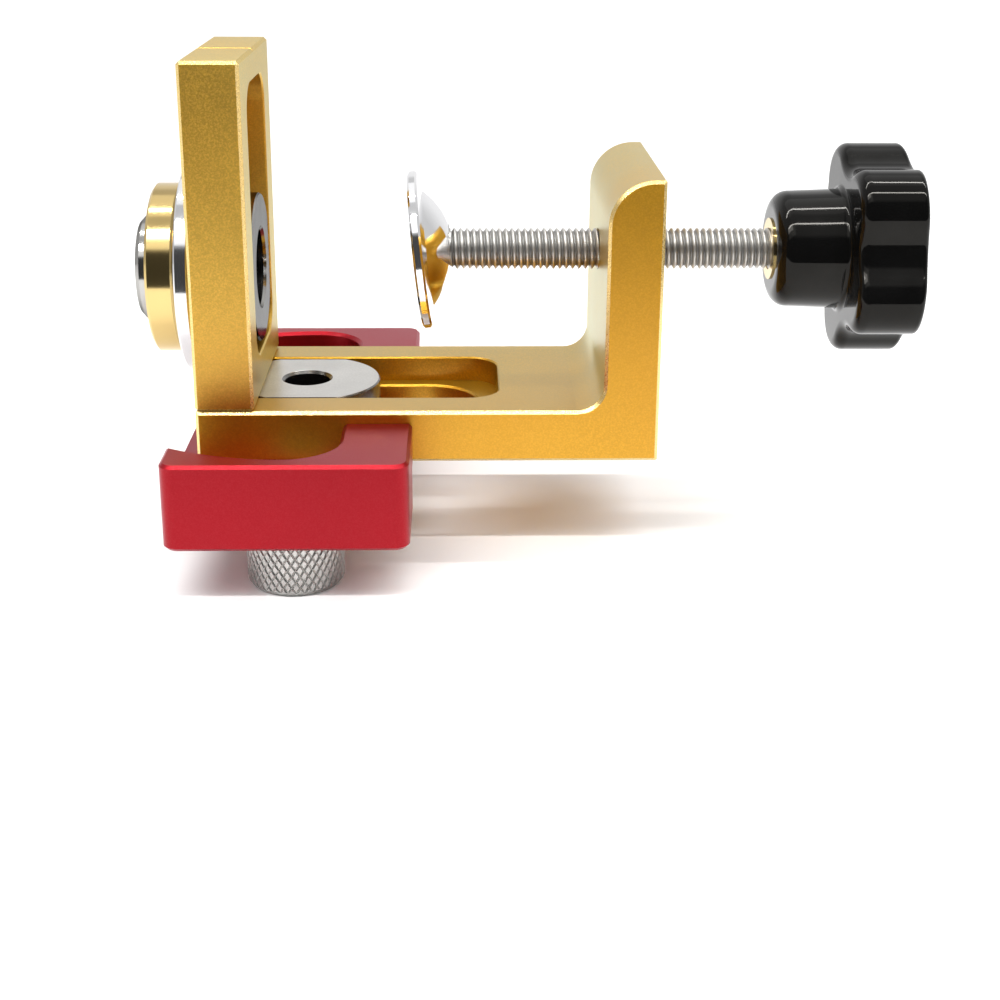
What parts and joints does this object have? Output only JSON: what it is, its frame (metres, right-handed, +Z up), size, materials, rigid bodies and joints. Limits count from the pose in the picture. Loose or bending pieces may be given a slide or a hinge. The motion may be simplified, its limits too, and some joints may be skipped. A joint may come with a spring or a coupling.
{
  "type": "self centering doweling jig",
  "caption": "Self centering doweling jig with a gold clamp bracket and slotted fence, a red sliding carrier with steel guide bushes, brass ring nuts, and a clamp screw with a black star knob.",
  "frame": {"origin": "on the edge bush's drill axis, level with the ledge that its flange rests on", "axes": "+X along the clamp screw from the fence to the knob, +Z up along the fence, +Y along the board's edge"},
  "size_m": [0.151, 0.089, 0.0937],
  "materials": {
    "gold_anodised": "bead blasted and gold anodised, with bright chamfers",
    "red_anodised": "satin red anodised",
    "bush_steel": "turned and ground steel, knurled grips on the side bushes",
    "zinc_steel": "bright rolled thread",
    "dark_steel": "blackened countersunk screws",
    "chrome": "polished",
    "brass": "polished turned brass",
    "black_plastic": "gloss moulded black"
  },
  "bodies": {
    "bracket": {"bracket": "gold_anodised", "fence_plate": "gold_anodised", "fence_screws": "dark_steel"},
    "carriage": {"carrier": "red_anodised", "edge_bush": "bush_steel", "side_bush_front": "bush_steel", "side_bush_back": "bush_steel"},
    "edge_nut": {"edge_ring_nut": "brass"},
    "face_slide": {"face_bush": "bush_steel", "face_washer": "chrome"},
    "face_nut": {"face_ring_nut": "brass"},
    "screw_slide": {"thrust_ring": "zinc_steel"},
    "screw": {"clamp_screw": "zinc_steel", "knob": "black_plastic", "knob_insert": "brass", "knob_cap": "black_plastic"},
    "foot": {"swivel_foot": "chrome"}
  },
  "joints": [
    {"name": "carriage_slide", "type": "slide", "parent": "bracket", "child": "carriage", "axis": [1, 0, 0], "range_m": [-0.0028, 0.0234]},
    {"name": "edge_nut_turn", "type": "hinge", "parent": "carriage", "child": "edge_nut", "pos_m": [0, 0, -0.0165], "axis": [0, 0, 1], "range_deg": [-180, 0]},
    {"name": "face_bush_slide", "type": "slide", "parent": "bracket", "child": "face_slide", "axis": [0, 0, 1], "range_m": [-0.0005, 0.0216]},
    {"name": "face_nut_turn", "type": "hinge", "parent": "face_slide", "child": "face_nut", "pos_m": [-0.025, 0, 0.0275], "axis": [1, 0, 0], "range_deg": [-180, 0]},
    {"name": "screw_feed", "type": "slide", "parent": "bracket", "child": "screw_slide", "axis": [1, 0, 0], "range_m": [-0.0228, 0.0272]},
    {"name": "screw_turn", "type": "hinge", "parent": "screw_slide", "child": "screw", "pos_m": [0.06, 0, 0.0312], "axis": [1, 0, 0], "range_deg": [-6560, 7830]},
    {"name": "foot_tilt", "type": "hinge", "parent": "screw_slide", "child": "foot", "pos_m": [0.0253, 0, 0.0312], "axis": [0, 1, 0], "range_deg": [0, 11.8]}
  ],
  "couplings": [
    {"joint": "screw_feed", "follows": "screw_turn", "m_per_rad": 0.00019894}
  ]
}
